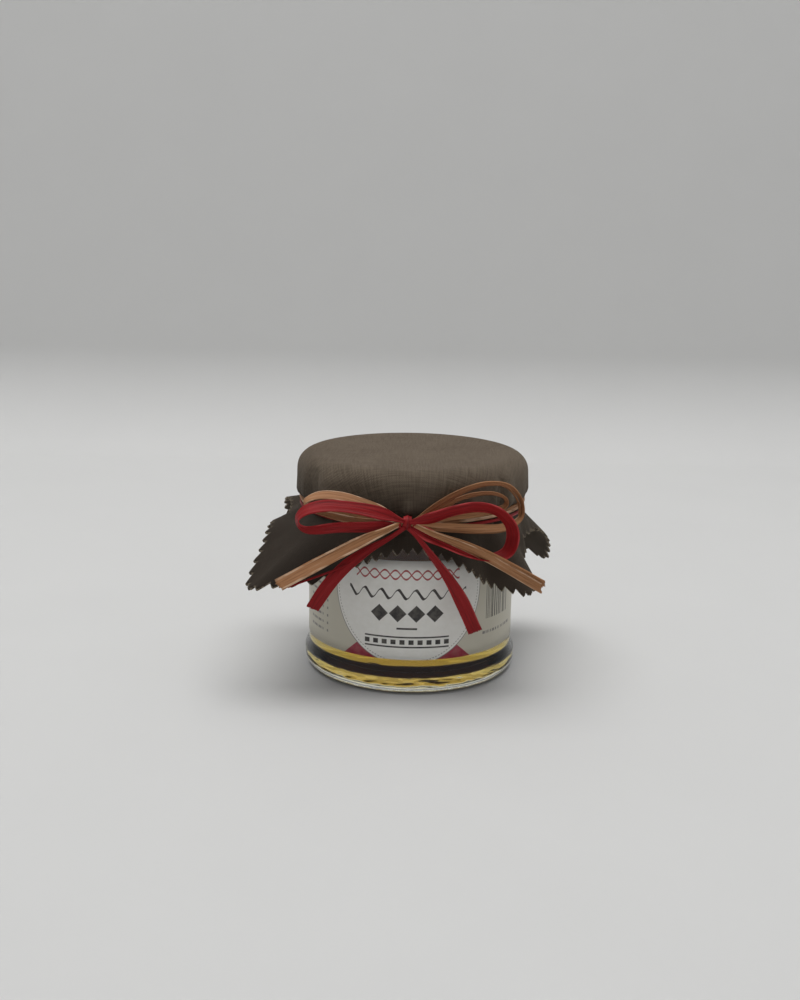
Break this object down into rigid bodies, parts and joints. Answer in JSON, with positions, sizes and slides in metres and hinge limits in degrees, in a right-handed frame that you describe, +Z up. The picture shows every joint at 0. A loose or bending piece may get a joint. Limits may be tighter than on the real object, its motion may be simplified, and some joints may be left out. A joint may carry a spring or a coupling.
{
  "type": "jar of caramel sauce",
  "caption": "Squat glass jar of caramel sauce, its lid covered by a pinked square of cloth that is gathered with raffia and a red ribbon bow.",
  "frame": {"origin": "centre of the jar's foot, on the surface that it stands on", "axes": "+Z up the jar's axis, -Y towards the bow and the label's front"},
  "size_m": [0.0979, 0.0889, 0.0713],
  "materials": {
    "clear_glass": "clear, smooth",
    "caramel": "dark amber sauce, translucent at its edges",
    "label_paper": "smooth printed paper",
    "lid_metal": "lacquered tinplate, hidden by the cloth",
    "brown_cloth": "matte plain weave, grey-brown",
    "raffia": "dry, finely ribbed along its length",
    "red_ribbon": "dry ribbon, slightly glossy along its length"
  },
  "bodies": {
    "root": {"glass_jar": "clear_glass", "caramel": "caramel", "label": "label_paper", "lid": "lid_metal", "cloth_cover": "brown_cloth", "raffia_tie": "raffia", "raffia_strand": "raffia", "red_ribbon": "red_ribbon"}
  },
  "joints": []
}
